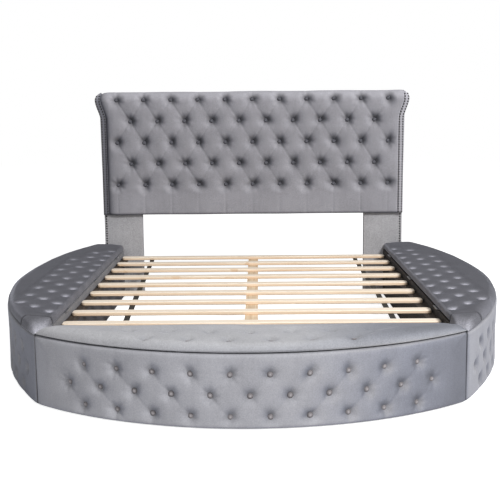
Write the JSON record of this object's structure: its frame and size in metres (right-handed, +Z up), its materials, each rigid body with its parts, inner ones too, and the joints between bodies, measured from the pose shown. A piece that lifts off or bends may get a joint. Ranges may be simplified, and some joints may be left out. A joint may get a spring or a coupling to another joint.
{
  "type": "round upholstered storage bed",
  "caption": "Round bed with a slatted mattress well between a tufted scroll-top headboard and curved storage benches with hinged padded lids.",
  "frame": {"origin": "on the floor, in the middle of the bed's overall length and width", "axes": "+X across the bed to the right, as seen from the foot; +Y towards the headboard; +Z up"},
  "size_m": [2.2806, 2.503, 1.2018],
  "materials": {
    "velvet": "short-pile velvet, soft sheen",
    "velvet_buttons": "velvet-covered buttons",
    "covered_board": "board covered in velvet",
    "plywood": "raw plywood",
    "pine": "planed pine, unvarnished",
    "hinge_steel": "bright zinc plate",
    "bolt_steel": "zinc plate",
    "black_steel": "black powder coat",
    "webbing": "woven black webbing",
    "stained_pine": "pine, stained dark brown",
    "back_cloth": "black lining cloth",
    "bumper_rubber": "soft black rubber",
    "glide_plastic": "black nylon"
  },
  "bodies": {
    "frame": {"bench_to_leg_bolts": "bolt_steel", "centre_beam": "pine", "centre_beam_hanger": "black_steel", "centre_beam_legs": "pine", "corner_brackets": "black_steel", "floor_glides": "glide_plastic", "foot_bench_base_board": "plywood", "foot_bench_corner_posts": "plywood", "foot_bench_inner_panel": "covered_board", "foot_bench_outer_wall": "plywood", "foot_bench_wall_buttons": "velvet_buttons", "foot_bench_wall_pad": "velvet", "foot_hinge_box_leaves": "hinge_steel", "foot_hinge_pins": "hinge_steel", "headboard_back_cover": "back_cloth", "headboard_buttons": "velvet_buttons", "headboard_core": "plywood", "headboard_left_border": "velvet", "headboard_leg_bolts": "bolt_steel", "headboard_right_border": "velvet", "headboard_tufted_pad": "velvet", "left_bench_base_board": "plywood", "left_bench_corner_cap": "velvet", "left_bench_corner_post": "plywood", "left_bench_head_panel": "covered_board", "left_bench_inner_panel": "covered_board", "left_bench_outer_wall": "plywood", "left_bench_wall_buttons": "velvet_buttons", "left_bench_wall_pad": "velvet", "left_hinge_box_leaves": "hinge_steel", "left_hinge_pins": "hinge_steel", "left_leg_board": "covered_board", "lid_bumpers": "bumper_rubber", "right_bench_base_board": "plywood", "right_bench_corner_cap": "velvet", "right_bench_corner_post": "plywood", "right_bench_head_panel": "covered_board", "right_bench_inner_panel": "covered_board", "right_bench_outer_wall": "plywood", "right_bench_wall_buttons": "velvet_buttons", "right_bench_wall_pad": "velvet", "right_hinge_box_leaves": "hinge_steel", "right_hinge_pins": "hinge_steel", "right_leg_board": "covered_board", "slat_ledges": "stained_pine", "slats": "pine", "webbing_straps": "webbing"},
    "left_lid": {"left_lid_board": "plywood", "left_lid_pad": "velvet", "left_lid_buttons": "velvet_buttons", "left_hinge_lid_leaves": "hinge_steel"},
    "right_lid": {"right_lid_board": "plywood", "right_lid_pad": "velvet", "right_lid_buttons": "velvet_buttons", "right_hinge_lid_leaves": "hinge_steel"},
    "foot_lid": {"foot_lid_board": "plywood", "foot_lid_pad": "velvet", "foot_lid_buttons": "velvet_buttons", "foot_hinge_lid_leaves": "hinge_steel"}
  },
  "joints": [
    {"name": "right_lid_hinge", "type": "hinge", "parent": "frame", "child": "right_lid", "pos_m": [0.7687, 0, 0.2735], "axis": [0, -1, 0], "range_deg": [0, 80]},
    {"name": "left_lid_hinge", "type": "hinge", "parent": "frame", "child": "left_lid", "pos_m": [-0.7687, 0, 0.2735], "axis": [0, 1, 0], "range_deg": [0, 80]},
    {"name": "foot_lid_hinge", "type": "hinge", "parent": "frame", "child": "foot_lid", "pos_m": [0, -0.9002, 0.2735], "axis": [-1, 0, 0], "range_deg": [0, 80]}
  ]
}
